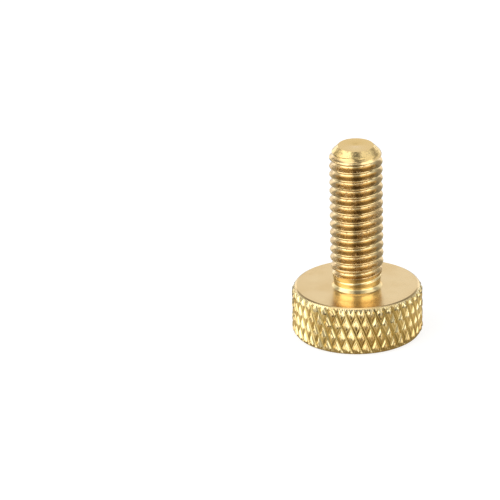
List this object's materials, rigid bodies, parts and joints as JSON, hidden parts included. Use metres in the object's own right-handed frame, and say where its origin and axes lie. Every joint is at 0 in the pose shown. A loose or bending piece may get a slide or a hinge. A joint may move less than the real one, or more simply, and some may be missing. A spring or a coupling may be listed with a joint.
{
  "type": "thumb screw",
  "caption": "Brass thumb screw with a round diamond-knurled head, a short relieved neck and a right-hand M6 thread, for tightening by hand.",
  "frame": {"origin": "centre of the head's outer face, which the screw stands on", "axes": "+Z along the screw's axis from the outer face of the head to the tip of the thread; -Y faces the viewer"},
  "size_m": [0.0146, 0.0146, 0.0224],
  "materials": {
    "brass": "bright, as turned"
  },
  "bodies": {
    "root": {"thumb_screw": "brass"}
  },
  "joints": []
}
